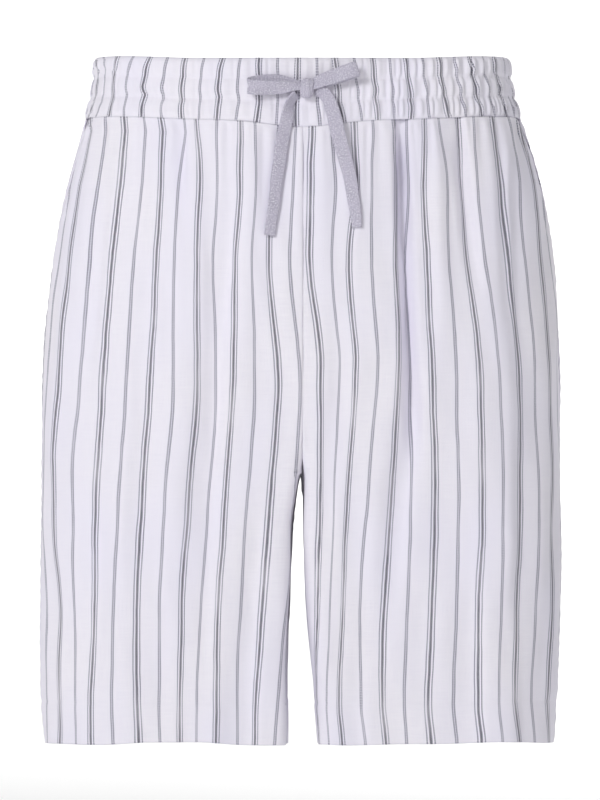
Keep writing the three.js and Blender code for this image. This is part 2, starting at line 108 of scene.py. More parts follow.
# ---------------------------------------------------------------- the garment's form, as in the part's source
COLUMNS = ["z", "left", "right", "front", "back", "line", "innerL", "innerR", "corner", "centre"]
SECTIONS = np.array([
    [21, 158.5, 156.5, -97, 99, 0, 0, 0, 5, 0],
    [0, 160, 158.3, -98, 101, 0, 0, 0, 5, 0],
    [-25, 165.5, 165.5, -100, 104, -3, 0, 0, 5, 0],
    [-75, 178.5, 181.5, -103, 115, -8, 0, 0, 5, 0],
    [-130, 189, 190, -103, 124, -12, 0, 0, 5, 0.05],
    [-200, 196.5, 194, -100, 127, -12, 0, 0, 5, 0.35],
    [-255, 198.5, 194, -96, 119, -14, 0, 0, 5, 0.65],
    [-290, 199, 194.5, -93, 109, -17, 0, 0, 4.9, 0.82],
    [-312, 199, 194.5, -91, 101, -18, 6.2, 1.6, 4.8, 0.9],
    [-345, 199, 194.5, -88, 90, -20, 9.2, 1.8, 4.7, 1],
    [-400, 199, 194.5, -84, 76, -20, 11.6, 3.2, 4.6, 1],
    [-450, 198, 193.6, -81, 67, -19, 12.8, 9.2, 4.5, 1],
    [-466, 196.6, 190.6, -80.3, 65, -18.8, 13, 10.6, 4.5, 1],
    [-494, 193.8, 188.4, -79, 61, -18, 12.6, 11.9, 4.5, 1],
], float)
OUTER_CORNER = 2.35
LEG_EDGE = 2.4  # the cloth turns more sharply at a leg's inner edge than its solid, by this share
INSEAM_TOP_Y = 2.0
INSEAM_HEM_Y = -9.0

# Soft folds: top, foot, x at the top, x at the foot, half widths towards -X and +X, depth inwards
FOLDS = {
    "front_right": [
        (-22, -320, 74, 85, 10, 8, 16), (-190, -420, 88, 64, 22, 9, 6), (-22, -170, 117, 133, 12, 5, 7),
        (-22, -230, 146, 156, 9, 5, 3), (-22, HEM, 149, 154, 42, 13, -4.5), (-22, -260, 12, 16, 12, 14, -2.5),
        (-22, -230, 98, 106, 9, 12, -3), (-270, HEM, 120, 128, 24, 14, 2.5), (-310, HEM, 44, 40, 18, 12, 2.5),
    ],
    "front_left": [
        (-50, -492, -54, -78, 24, 9, 6), (-22, -120, -90, -89, 9, 4, 3.2), (-22, -170, -9, -12, 14, 8, 4),
        (-22, -240, -40, -38, 12, 18, -2.5), (-120, HEM, -122, -112, 22, 16, 2.5),
        (-22, -300, -146, -170, 14, 9, 3), (-22, -150, -124, -128, 12, 7, 2.5), (-300, HEM, -32, -44, 26, 12, 3),
    ],
    "back_right": [
        (-22, -300, 46, 54, 18, 12, 5), (-22, -240, 96, 108, 15, 10, 4.5), (-22, -180, 140, 156, 12, 9, 3),
        (-270, HEM, 60, 92, 24, 14, 5), (-300, HEM, 140, 134, 22, 16, 3),
    ],
    "back_left": [
        (-22, -280, -52, -58, 12, 18, 4.5), (-22, -260, -104, -118, 10, 16, 5), (-22, -170, -144, -160, 9, 12, 3),
        (-280, HEM, -66, -98, 14, 24, 5), (-320, HEM, -146, -140, 16, 20, 3),
    ],
}
AT_WAIST = 0.42
DROPPED = -58.0
SEAM_EASE = 0.12


def section_at(z):
    """The section table at one height, with rounded steps between its rows."""
    last = len(SECTIONS) - 1
    i = 0
    while i < last - 1 and SECTIONS[i + 1][0] > z:
        i += 1
    before, a, b, after = SECTIONS[max(i - 1, 0)], SECTIONS[i], SECTIONS[i + 1], SECTIONS[min(i + 2, last)]
    span = b[0] - a[0]
    t = min(max((z - a[0]) / span, 0.0), 1.0)
    slope_a = (b - before) / (b[0] - before[0]) * span
    slope_b = (after - a) / (after[0] - a[0]) * span
    row = ((2 * t**3 - 3 * t**2 + 1) * a + (t**3 - 2 * t**2 + t) * slope_a
           + (3 * t**2 - 2 * t**3) * b + (t**3 - t**2) * slope_b)
    return dict(zip(COLUMNS, row))


def turned_under(z):
    t = min(max((FORK - z) / (FORK - CROTCH), 0.0), 1.0)
    return t**6


SOFT_TURN = (FORK - 5, CROTCH - 45)  # the same turn, as it is some way off the seam
SEAM_HOLD = 4.5


def turn_beside(distance, z, under):
    """How far the cloth beside the crotch seam follows the seam's own turn under."""
    hold = np.clip(1 - (distance / SEAM_HOLD) ** 2, 0, 1) ** 2
    return under * hold + float(smooth(z, *SOFT_TURN)) * (1 - hold)


STEPS = 110
ANGLES = np.linspace(0, math.pi / 2, STEPS + 1)


def leg_gap(z, inner, wide):
    """A leg's inner edge, which leaves the other leg's at once below the crotch."""
    return max(inner, wide * math.sqrt(min(max((CROTCH - z) / 22, 0), 1))) if z > -312 else inner


def quarter_curve(z, side, face, flat=False):
    """One quarter of the garment at one height, from its centre seam or inseam to the side seam."""
    s = section_at(z)
    width = s["right"] if side > 0 else s["left"]
    inner = leg_gap(z, s["innerR"], 1.6) if side > 0 else leg_gap(z, s["innerL"], 6.2)
    inner = max(SEAM / 2, inner)
    crown = s["front"] if face < 0 else s["back"]
    corner = s["corner"] * (1 + LEG_EDGE * float(smooth(z, FORK, CROTCH - 30)))
    inseam_y = INSEAM_TOP_Y + (INSEAM_HEM_Y - INSEAM_TOP_Y) * float(smooth(z, CROTCH, HEM)) + face * SEAM / 2
    middle = inner + (width - inner) / 2 * min(max(s["centre"], 0), 1)
    side_y = s["line"] + face * SEAM / 2
    power = 2 / corner
    a = ANGLES[:-1]
    across, deep = np.cos(a) ** power, 1 - np.sin(a) ** power
    turn = 0 if flat else turn_beside((middle - inner) * (1 - across), z, turned_under(z))
    first = np.stack([middle - (middle - inner) * across, crown + (inseam_y - crown) * turn * deep], 1)
    power = 2 / OUTER_CORNER
    across, deep = np.sin(ANGLES) ** power, 1 - np.cos(ANGLES) ** power
    second = np.stack([middle + (width - middle) * across, crown + (side_y - crown) * deep], 1)
    points = np.concatenate([first, second])
    points[:, 0] *= side
    return points


def arc_of(points):
    return np.concatenate([[0], np.cumsum(np.hypot(*np.diff(points, axis=0).T))])


def along(points, arc, want):
    return np.stack([np.interp(want, arc, points[:, 0]), np.interp(want, arc, points[:, 1])], -1)


INNER_COLUMNS = 0.45


def column_share(z, side, face, column):
    whole = arc_of(quarter_curve(z, side, face))[-1]
    flat = arc_of(quarter_curve(z, side, face, True))[-1]
    inner = np.maximum(1 - column / INNER_COLUMNS, 0) ** 2
    return 1 - ((1 - column) * flat + (whole - flat) * inner) / whole


CENTRE_SAG = 5.8
SIDE_RISE = 3.2


def seam_sag(x, face, z):
    """How far the waist seam hangs at the centre front, and rises with the top edge at the sides."""
    rise = SIDE_RISE * smooth(np.abs(x), 70, 155)
    sag = CENTRE_SAG * np.exp(-((x / 40) ** 2)) if face < 0 else 0.0
    if z <= BAND_BOTTOM:
        return (rise - sag) * smooth(z, -150, BAND_BOTTOM)
    top = rise if face < 0 else SIDE_RISE
    return (rise - sag) + (top - rise + sag) * smooth(z, BAND_BOTTOM, BAND_TOP)


CROTCH_SHIFT = 0.5  # the crotch hangs a little towards the wearer's right
HEM_SAG = [  # x, and how far the hem is above its mean height there
    (-199, -1.4), (-152, -1.0), (-115, 1.0), (-78, 1.2), (-40, -1.2), (-12, -1.2),
    (14, -0.7), (36, -1.2), (73, -0.3), (110, 0.0), (148, 1.2), (190, -1.0),
]


def hem_sag(x, face, z):
    """The hem's slight waves up and down."""
    places, rises = zip(*HEM_SAG)
    return -face * smooth_through(np.clip(x, -199, 190), places, rises) * float(smooth(z, HEM + 70, HEM))


def fold_depth(folds, x, z):
    depth = np.zeros_like(x)
    for top, foot, x_top, x_foot, half_left, half_right, deep in folds:
        if z > top or z < foot:
            continue
        t = (top - z) / (top - foot)
        above = AT_WAIST + (1 - AT_WAIST) * smooth(z, BAND_BOTTOM, DROPPED) if top > BAND_BOTTOM else smooth(t, 0, 0.25)
        below = 1 if foot <= HEM else 1 - smooth(t, 0.5, 1)
        off = x - (x_top + (x_foot - x_top) * t)
        depth += deep * bell(off, np.where(off < 0, half_left, half_right)) * above * below
    return depth


def front_face(x, z):
    """The foremost place of the cloth behind a tape centred at x and z."""
    places = []
    for edge in (-1, 0, 1):
        at = x + edge * TAPE_WIDTH / 2
        side = -1 if at < 0 else 1
        curve = quarter_curve(z, side, -1)
        y = curve[np.argmin(np.abs(curve[:, 0] - at)), 1]
        folds = FOLDS["front_left" if side < 0 else "front_right"]
        places.append(y + float(fold_depth(folds, np.array([at]), z)[0]))
    proud = CHANNEL_PUFF + GATHER_DEPTH / 2 if z > BAND_BOTTOM - CENTRE_SAG - 3 else 0
    return min(places) - proud


TAPE_WIDTH = 11.5
TAPE_THICK = 1.8
TAPE_CLEAR = 0.4
CHANNEL_PUFF = 1.6
GATHER_DEPTH = 1.5

# ---------------------------------------------------------------- camera, world, floor and light
scene = bpy.context.scene
scene.view_settings.view_transform = "Standard"
scene.view_settings.look = "None"

camera_data = bpy.data.cameras.new("camera")
camera = bpy.data.objects.new("camera", camera_data)
scene.collection.objects.link(camera)
camera.location = (-0.0023, -6.0, -0.2356)
camera.rotation_euler = (math.radians(90), 0, 0)
camera_data.lens = 354.7
camera_data.clip_end = 60
scene.camera = camera

world = bpy.data.worlds.new("studio")
scene.world = world
world.use_nodes = True
world.node_tree.nodes["Background"].inputs[0].default_value = (1.0, 1.0, 1.0, 1)
world.node_tree.nodes["Background"].inputs[1].default_value = 0.34


def area_light(name, place, target, size, power, color=(1, 1, 1)):
    data = bpy.data.lights.new(name, "AREA")
    data.shape = "DISK"
    data.size = size
    data.energy = power
    data.color = color
    o = bpy.data.objects.new(name, data)
    o.location = place
    o.rotation_euler = (Vector(target) - Vector(place)).to_track_quat("-Z", "Y").to_euler()
    scene.collection.objects.link(o)


area_light("key", (-1.6, -3.0, 1.1), (0, 0, -0.2), 0.9, 49)
area_light("fill", (2.4, -1.6, -0.6), (0, 0, -0.35), 1.4, 3)
area_light("rear", (1.4, 3.0, 1.2), (0, 0, -0.2), 1.4, 26)


def principled(name):
    m = bpy.data.materials.new(name)
    m.use_nodes = True
    return m, m.node_tree, m.node_tree.nodes["Principled BSDF"]


def srgb(r, g, b):
    f = lambda c: c / 12.92 if c <= 0.04045 else ((c + 0.055) / 1.055) ** 2.4
    return (f(r / 255), f(g / 255), f(b / 255), 1)




# ---------------------------------------------------------------- materials
class Graph:
    """Short calls for a material's maths nodes."""

    def __init__(self, tree):
        self.tree = tree

    def node(self, kind, inputs=(), **settings):
        n = self.tree.nodes.new(kind)
        for key, value in settings.items():
            setattr(n, key, value)
        for key, value in dict(inputs).items():
            if isinstance(value, bpy.types.NodeSocket):
                self.tree.links.new(value, n.inputs[key])
            else:
                n.inputs[key].default_value = value
        return n

    def math(self, operation, *values, clamp=False):
        return self.node("ShaderNodeMath", enumerate(values), operation=operation, use_clamp=clamp).outputs[0]

    def add(self, a, b):
        return self.math("ADD", a, b)

    def mul(self, a, b):
        return self.math("MULTIPLY", a, b)

    def line(self, distance, half, edge):
        """1 within half of the line, 0 beyond half + edge."""
        return self.math("DIVIDE", self.math("SUBTRACT", half + edge, distance), edge, clamp=True)

    def mix(self, factor, a, b):
        n = self.tree.nodes.new("ShaderNodeMix")
        n.data_type = "RGBA"
        for socket, value in ((n.inputs[0], factor), (n.inputs[6], a), (n.inputs[7], b)):
            if isinstance(value, bpy.types.NodeSocket):
                self.tree.links.new(value, socket)
            else:
                socket.default_value = value
        return n.outputs[2]

    def noise(self, vector, scale, detail=2.0):
        n = self.node("ShaderNodeTexNoise", {"Vector": vector, "Scale": scale, "Detail": detail})
        return n.outputs[0]

    def scaled(self, vector, scale):
        return self.node("ShaderNodeVectorMath", {0: vector, 1: scale}, operation="MULTIPLY").outputs[0]


STAGE_RADIUS = 15.0
STAGE_TOP = 2.6
STAGE_CURVE = 1.2
FLOOR_Z = -0.66
STAGE_SIDES = 64


def make_stage():
    """A round floor that curves up into a low pale wall, which glows on the part's far side."""
    curve = np.linspace(0, math.pi / 2, 12)
    flat = STAGE_RADIUS - STAGE_CURVE
    profile = [(0.01, FLOOR_Z), (1.6, FLOOR_Z), (4.0, FLOOR_Z)]
    profile += [(flat + STAGE_CURVE * math.sin(t), FLOOR_Z + STAGE_CURVE * (1 - math.cos(t))) for t in curve]
    profile += [(STAGE_RADIUS, STAGE_TOP)]
    turns = [2 * math.pi * k / STAGE_SIDES for k in range(STAGE_SIDES)]
    verts = [(r * math.cos(t), r * math.sin(t), z) for r, z in profile for t in turns]
    faces = []
    for i in range(len(profile) - 1):
        for k in range(STAGE_SIDES):
            after = (k + 1) % STAGE_SIDES
            low, high = i * STAGE_SIDES, (i + 1) * STAGE_SIDES
            faces.append((low + k, high + k, high + after, low + after))
    faces.append(tuple(range(STAGE_SIDES)))
    mesh = bpy.data.meshes.new("floor")
    mesh.from_pydata(verts, [], faces)
    for polygon in mesh.polygons:
        polygon.use_smooth = True
    o = bpy.data.objects.new("floor", mesh)
    scene.collection.objects.link(o)
    m, tree, shader = principled("floor_white")
    g = Graph(tree)
    place = g.node("ShaderNodeNewGeometry").outputs["Position"]
    behind = g.node("ShaderNodeSeparateXYZ", {0: place}).outputs["Y"]
    reach = {"Value": behind, "From Min": 0.8, "From Max": 5.0, "To Min": 0.22, "To Max": 0.8}
    glow = g.node("ShaderNodeMapRange", reach, interpolation_type="SMOOTHSTEP").outputs[0]
    shader.inputs["Base Color"].default_value = (0.8, 0.8, 0.8, 1)
    shader.inputs["Roughness"].default_value = 0.9
    shader.inputs["Emission Color"].default_value = (1, 1, 1, 1)
    tree.links.new(glow, shader.inputs["Emission Strength"])
    mesh.materials.append(m)


make_stage()

CLOTH_WHITE = srgb(247, 244, 252)
CLOTH_SLUB = srgb(237, 234, 245)
CLOTH_COOL = srgb(241, 238, 252)
INK_DARK = srgb(38, 37, 66)
INK_THIN = srgb(84, 83, 112)
INK_DOUBLE = srgb(108, 106, 128)
INK_FILL = srgb(205, 203, 216)


def striped_cloth(name, ink):
    """White plain weave with woven ticking stripes: a triple, and half way to the next a fine double.
    The UV map is the cloth laid flat, in stripe repeats."""
    m, tree, shader = principled(name)
    g = Graph(tree)
    uv = g.node("ShaderNodeUVMap", uv_map="flat").outputs[0]
    parts = g.node("ShaderNodeSeparateXYZ", {0: uv}).outputs
    p, v = parts[0], parts[1]
    wobble = g.noise(g.scaled(uv, (0.4, 9.0, 1.0)), 1.0)
    wander = g.noise(g.scaled(uv, (1.6, 0.62, 1.0)), 1.0)
    p = g.add(p, g.mul(g.math("SUBTRACT", wobble, 0.5), 0.016))
    p = g.add(p, g.mul(g.math("SUBTRACT", wander, 0.5), 0.09))
    to_triple = g.mul(g.math("SUBTRACT", g.math("FRACT", g.add(p, 0.5)), 0.5), REPEAT)
    off_triple = g.math("ABSOLUTE", to_triple)
    off_double = g.mul(g.math("ABSOLUTE", g.math("SUBTRACT", g.math("FRACT", p), 0.5)), REPEAT)
    run = g.mul(v, REPEAT / 1.9)
    tick = g.math("FRACT", run)
    dots = g.math("GREATER_THAN", tick, 0.36)
    slant = g.math("FRACT", g.add(run, g.mul(to_triple, 0.55)))
    twill = g.math("GREATER_THAN", slant, 0.34)
    uneven = g.noise(g.scaled(uv, (40.0, 14.0, 1.0)), 1.0)
    strength = g.math("MULTIPLY_ADD", uneven, ink, ink - 0.1, clamp=True)
    worn = g.noise(g.scaled(uv, (2.3, 0.8, 1.0)), 1.0)
    strength = g.mul(strength, g.math("MULTIPLY_ADD", worn, 1.3, 0.35, clamp=True))
    centre = g.mul(g.line(off_triple, 0.86, 0.3), g.add(g.mul(twill, 0.62), 0.38))
    thin_off = g.math("ABSOLUTE", g.math("SUBTRACT", off_triple, 2.7))
    thin = g.mul(g.line(thin_off, 0.36, 0.26), g.add(g.mul(dots, 0.85), 0.15))
    double_off = g.math("ABSOLUTE", g.math("SUBTRACT", off_double, 0.84))
    double = g.mul(g.line(double_off, 0.29, 0.26), g.add(g.mul(dots, 0.75), 0.25))
    fill = g.mul(g.line(off_double, 0.75, 0.3), 0.7)
    slub = g.noise(g.scaled(uv, (60.0, 2.2, 1.0)), 1.0, 3.0)
    weft = g.noise(g.scaled(uv, (2.0, 55.0, 1.0)), 1.0, 3.0)
    uneven_cloth = g.math("MULTIPLY", slub, weft)
    base = g.mix(g.math("MULTIPLY_ADD", uneven_cloth, 2.6, -0.35, clamp=True), CLOTH_WHITE, CLOTH_SLUB)
    patches = g.noise(g.scaled(uv, (0.55, 0.3, 1.0)), 1.0, 1.0)
    base = g.mix(g.math("MULTIPLY_ADD", patches, 2.4, -0.9, clamp=True), base, CLOTH_COOL)
    color = g.mix(fill, base, INK_FILL)
    color = g.mix(g.mul(double, strength), color, INK_DOUBLE)
    color = g.mix(g.mul(thin, strength), color, INK_THIN)
    color = g.mix(g.mul(centre, strength), color, INK_DARK)
    tree.links.new(color, shader.inputs["Base Color"])
    shader.inputs["Roughness"].default_value = 0.86
    shader.inputs["Specular IOR Level"].default_value = 0.25
    shader.inputs["Sheen Weight"].default_value = 0.15
    shader.inputs["Sheen Roughness"].default_value = 0.5
    yarn = g.math("SINE", g.mul(p, REPEAT * 2 * math.pi / 0.62))
    pick = g.math("SINE", g.mul(v, REPEAT * 2 * math.pi / 0.62))
    relief = g.add(g.mul(g.mul(yarn, pick), 0.12), g.add(g.mul(slub, 0.9), g.mul(weft, 0.7)))
    bump = g.node("ShaderNodeBump", {"Height": relief, "Strength": 0.35, "Distance": 0.0003})
    tree.links.new(bump.outputs[0], shader.inputs["Normal"])
    return m


STRIPED = striped_cloth("striped_cloth", 0.7)
BAND_CLOTH = striped_cloth("waistband_cloth", 0.78)


def tape_cloth(name):
    """Soft heathered tape with a fine herringbone."""
    m, tree, shader = principled(name)
    g = Graph(tree)
    uv = g.node("ShaderNodeUVMap", uv_map="flat").outputs[0]
    parts = g.node("ShaderNodeSeparateXYZ", {0: uv}).outputs
    u, v = parts[0], parts[1]
    zig = g.math("PINGPONG", u, 1.45)
    rib = g.math("SINE", g.mul(g.add(g.mul(v, 1.0), g.mul(zig, 0.8)), 2 * math.pi / 0.9))
    speck = g.noise(g.scaled(uv, (1.15, 0.9, 1.0)), 1.0, 2.0)
    soft = g.noise(g.scaled(uv, (0.16, 0.1, 1.0)), 1.0, 2.0)
    flecks = g.math("MULTIPLY_ADD", speck, 5.0, -2.3, clamp=True)
    color = g.mix(flecks, srgb(184, 179, 198), srgb(244, 242, 250))
    color = g.mix(g.math("MULTIPLY_ADD", soft, 1.6, -0.55, clamp=True), color, srgb(209, 203, 221))
    color = g.mix(g.math("MULTIPLY_ADD", rib, 0.1, 0.08), color, srgb(166, 163, 186))
    tree.links.new(color, shader.inputs["Base Color"])
    shader.inputs["Roughness"].default_value = 0.9
    shader.inputs["Specular IOR Level"].default_value = 0.2
    shader.inputs["Sheen Weight"].default_value = 0.3
    relief = g.add(g.mul(rib, 0.5), speck)
    bump = g.node("ShaderNodeBump", {"Height": relief, "Strength": 0.5, "Distance": 0.0004})
    tree.links.new(bump.outputs[0], shader.inputs["Normal"])
    return m


TAPE = tape_cloth("drawstring_tape")


# ---------------------------------------------------------------- meshes
def grid_normals(grid):
    down = np.gradient(grid, axis=0)
    across = np.gradient(grid, axis=1)
    n = np.cross(across, down)
    return n / np.maximum(np.linalg.norm(n, axis=2, keepdims=True), 1e-9)


def grid_faces(rows, columns, offset, flip):
    r, c = np.meshgrid(np.arange(rows - 1), np.arange(columns - 1), indexing="ij")
    a = (offset + r * columns + c).ravel()
    quads = np.stack([a, a + columns, a + columns + 1, a + 1], 1)
    return quads[:, ::-1] if flip else quads


def closed_sheet(name, outer, inner, uv_outer, uv_inner, material, wrap=False):
    """One closed thin piece from two grids of points with the same layout. wrap joins its first and last columns."""
    rows, columns = outer.shape[:2]
    points = np.concatenate([outer.reshape(-1, 3), inner.reshape(-1, 3)]) * MM
    uvs = np.concatenate([uv_outer.reshape(-1, 2), uv_inner.reshape(-1, 2)])
    count = rows * columns
    faces = [grid_faces(rows, columns, 0, False), grid_faces(rows, columns, count, True)]
    r = np.arange(rows - 1)
    c = np.arange(columns - 1)
    if not wrap:
        left = r * columns
        faces.append(np.stack([left, left + count, left + columns + count, left + columns], 1))
        right = left + columns - 1
        faces.append(np.stack([right, right + columns, right + columns + count, right + count], 1))
    faces.append(np.stack([c, c + 1, c + 1 + count, c + count], 1))
    foot = (rows - 1) * columns + c
    faces.append(np.stack([foot, foot + count, foot + 1 + count, foot + 1], 1))
    faces = np.concatenate(faces)
    grid = grid_normals(outer)
    centre = (outer - inner).reshape(-1, 3)
    if np.sum(grid.reshape(-1, 3) * centre) > 0:  # the outer grid's faces look away from the inner grid
        faces = faces[:, ::-1]
    mesh = bpy.data.meshes.new(name)
    mesh.vertices.add(len(points))
    mesh.vertices.foreach_set("co", points.ravel())
    mesh.loops.add(faces.size)
    mesh.loops.foreach_set("vertex_index", faces.ravel().astype(np.int32))
    mesh.polygons.add(len(faces))
    mesh.polygons.foreach_set("loop_start", np.arange(0, faces.size, 4, dtype=np.int32))
    mesh.polygons.foreach_set("use_smooth", np.ones(len(faces), bool))
    layer = mesh.uv_layers.new(name="flat")
    layer.data.foreach_set("uv", uvs[faces.ravel()].astype(np.float32).ravel())
    mesh.update(calc_edges=True)
    mesh.validate()
    mesh.materials.append(material)
    o = bpy.data.objects.new(name, mesh)
    scene.collection.objects.link(o)
    return o


def declare(o, slot, *nodes):
    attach(o, "root")
    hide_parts(*nodes)


class Ripple:
    """Uneven waves over a length: a wave's crest at each of a row of unevenly spaced places."""

    def __init__(self, seed, low, high, pitch, uneven):
        rng = np.random.default_rng(seed)
        places = [low]
        while places[-1] < high:
            places.append(places[-1] + pitch * (1 + uneven * rng.uniform(-1, 1)))
        self.places = np.array(places)
        self.heights = rng.uniform(0.45, 1.0, len(places) + 1)

    def __call__(self, s):
        phase = np.interp(s, self.places, np.arange(len(self.places)))
        k = np.clip(phase.astype(int), 0, len(self.heights) - 2)
        f = phase - k
        height = self.heights[k] * (1 - f) + self.heights[k + 1] * f
        return height * np.cos(2 * np.pi * phase)


class Cloud:
    """Smooth noise over two lengths, as a sum of waves."""

    def __init__(self, seed, wave_s, wave_z, count=9):
        rng = np.random.default_rng(seed)
        self.ks = rng.normal(0, 1, count) * 2 * np.pi / wave_s
        self.kz = rng.normal(0, 1, count) * 2 * np.pi / wave_z
        self.phase = rng.uniform(0, 2 * np.pi, count)

    def __call__(self, s, z):
        total = sum(np.sin(a * s + b * z + c) for a, b, c in zip(self.ks, self.kz, self.phase))
        return total / math.sqrt(len(self.ks) / 2)


# ---------------------------------------------------------------- where the stripes run on the two fronts
# Heights are pixels down the photograph. Each row is one stripe: its number, a half for a double, and its
# place across at each height.
STRIPE_HEIGHTS = [135, 180, 260, 380, 500, 620, 703, 736]
STRIPES_RIGHT = [
    [0, 313, 314, 319, 321, 321, 320, 318, 320],
    [0.5, 333, 339, 341, 339, 334, 331, 329, 331],
    [1, 356, 360, 358, 355, 347, 342, 339, 341],
    [1.5, 373, 375, 381, 377, 367, 360, 361, 364],
    [2, 395, 398, 402.5, 398, 391, 384, 382, 385],
    [2.5, 407, 409, 405.5, 410, 411, 407, 404, 406],
    [3, 424, 423, 427, 432, 435, 431, 428, 431],
    [3.5, 441, 447, 449, 457, 459, 456, 453, 456],
    [4, 458, 461, 467, 480, 482, 479, 478, 481],
    [4.5, 474, 476, 485, 500, 503, 501, 499, 502],
    [5, 494, 499, 508, 520, 521, 517, 515, 518],
    [5.5, 511, 519, 525, 536, 539, 536, 532, 534],
]
STRIPES_LEFT = [
    [-0.5, 295, 293, 290, 300, 293, 284, 277, 275],
    [0, 279, 273, 269, 278, 270, 261, 256, 255],
    [0.5, 255, 256, 252, 255, 247, 240, 237, 237],
    [1, 240, 240, 235, 233, 225, 218, 216, 216],
    [1.5, 217, 217, 213, 216, 209, 200, 197, 197],
    [2, 197, 200, 197, 197, 189, 181, 180, 180],
    [2.5, 185, 179, 174, 173, 165, 159, 159, 160],
    [3, 163, 161, 156, 150, 142, 137, 137, 138],
    [3.5, 145, 143, 134, 126, 118, 113, 112, 113],
    [4, 125, 120, 112, 103, 96, 94, 91, 91],
    [4.5, 98, 97, 89, 75, 73, 75, 75, 75],
    [5, 86, 79, 60, 54, 53, 60, 58, 58],
]
BAND_HEIGHTS = [58, 76, 100.5, 120]
BAND_STRIPES = [  # one row per triple across the front of the waistband
    [-6, 96, 98, 94.7, 87], [-5, 116.7, 114, 112, 107.9], [-4, 149.7, 144.5, 143, 140.9],
    [-3, 185, 182.7, 181.2, 181.2], [-2, 222, 218.5, 217.9, 216.4], [-1, 259, 258.5, 258.2, 256],
    [0, 297.5, 297, 296, 296.3], [1, 335, 337, 340.5, 343.6], [2, 372.7, 373.9, 376.9, 378.8],
    [3, 406.3, 407.9, 410.9, 410.2], [4, 439.2, 440.8, 445.4, 449.2], [5, 470, 472.5, 478.3, 482.1],
    [6, 495, 496.6, 502, 507],
]


def stripe_places(table, heights, py):
    """Each stripe's number and its column in the photograph at one height."""
    numbers = np.array([row[0] for row in table], float)
    low, high = heights[0], heights[-1]
    places = []
    for row in table:
        px = float(smooth_through(np.array([min(max(py, low), high)]), heights, row[1:])[0])
        if py < low:
            px += (py - low) * (row[2] - row[1]) / (heights[1] - heights[0])
        if py > high:
            px += (py - high) * (row[-1] - row[-2]) / (heights[-1] - heights[-2])
        places.append(px)
    return numbers, np.array(places)


FAR_STEP = 8.0  # millimetres of cloth to a pixel past the outline
LEAST_GAP, MOST_GAP = 0.5, 1.16  # between stripes, as shares of their woven distance


def stripe_number(table, heights, row, arc, face_y, rate):
    """The stripe number along one row of the cloth, given as points and their lengths along it. Beyond the
    stripes of the table, rate is how many stripes pass in a millimetre."""
    px = px_of(row[:, 0], row[:, 1])
    numbers, places = stripe_places(table, heights, py_of(float(np.mean(row[:, 2])), face_y))
    low, high = sorted((int(np.argmin(px)), int(np.argmax(px))))
    seen = slice(low, high + 1)
    order = np.argsort(px[seen])
    at = np.interp(places, px[seen][order], arc[seen][order])
    beyond = np.maximum(places - px.max(), 0) + np.minimum(places - px.min(), 0)
    at = at + beyond * FAR_STEP * np.sign(arc[high] - arc[low]) * (1 if px[high] > px[low] else -1)
    order = np.argsort(at)
    numbers, at = numbers[order], at[order]
    # a stripe near an outline can't be further from its neighbour than the cloth allows
    steps = np.abs(np.diff(numbers)) * REPEAT
    gaps = np.clip(np.diff(at), LEAST_GAP * steps, MOST_GAP * steps)
    middle = int(np.argmin(np.abs(places[order] - (px.min() + px.max()) / 2)))
    at = at[middle] + np.concatenate([[0], np.cumsum(gaps)]) - np.sum(gaps[:middle])
    out = smooth_through(arc, at, numbers)
    out = np.where(arc < at[0], numbers[0] + (arc - at[0]) * rate, out)
    return np.where(arc > at[-1], numbers[-1] + (arc - at[-1]) * rate, out)


# ---------------------------------------------------------------- panels
POCKET_FOOT = -152.0
POCKET_SET_IN = 30.0
POCKET_LAP = 16.0
PANEL_COLUMNS = 140


def panel_heights():
    turn = FORK - (FORK - CROTCH) * np.sqrt(1 - (1 - np.linspace(0, 1, 34)) ** 2)
    parts = [np.arange(BAND_BOTTOM - BAND_JOIN, -62, -1.35), np.arange(-62, FORK, -2.2), np.arange(FORK, CROTCH, -2.0),
             turn, np.arange(CROTCH, -345, -1.9), np.arange(-345, HEM + HEM_DEPTH + 3, -2.5),
             np.arange(HEM + HEM_DEPTH + 3, HEM, -1.3), [HEM]]
    heights = np.sort(np.concatenate(parts))[::-1]
    keep = [heights[0]]
    for z in heights[1:]:
        if keep[-1] - z > 0.3 or z in (CROTCH, HEM):
            if z in (CROTCH, HEM) and keep[-1] - z < 0.3 and len(keep) > 1:
                keep.pop()
            keep.append(z)
    return np.array(keep)


HEIGHTS = panel_heights()


def mouth_share(z, total):
    if z <= POCKET_FOOT:
        return 1.0
    t = (z - POCKET_FOOT) / (BAND_BOTTOM - POCKET_FOOT)
    return 1 - POCKET_SET_IN * t**0.8 / total


def base_row(name, z, side, face, shares):
    curve = quarter_curve(z, side, face)
    arc = arc_of(curve)
    total = arc[-1]
    point = along(curve, arc, shares * total)
    ahead = along(curve, arc, np.minimum(shares + 0.01, 1) * total)
    behind = along(curve, arc, np.maximum(shares - 0.01, 0) * total)
    across = ahead - behind
    across /= np.maximum(np.linalg.norm(across, axis=1, keepdims=True), 1e-9)
    inward = np.stack([-across[:, 1], across[:, 0]], 1) * side * -face
    free = smooth(shares, 0, SEAM_EASE) * smooth(1 - shares, 0, SEAM_EASE)
    point = point + inward * (fold_depth(FOLDS[name], point[:, 0], z) * free)[:, None]
    zs = z + seam_sag(point[:, 0], face, z) + hem_sag(point[:, 0], face, z)
    point[:, 0] -= CROTCH_SHIFT * np.exp(-((point[:, 0] / 35) ** 2)) * float(bell(z - CROTCH, 75))
    return np.concatenate([point, zs[:, None]], 1), shares * total, total


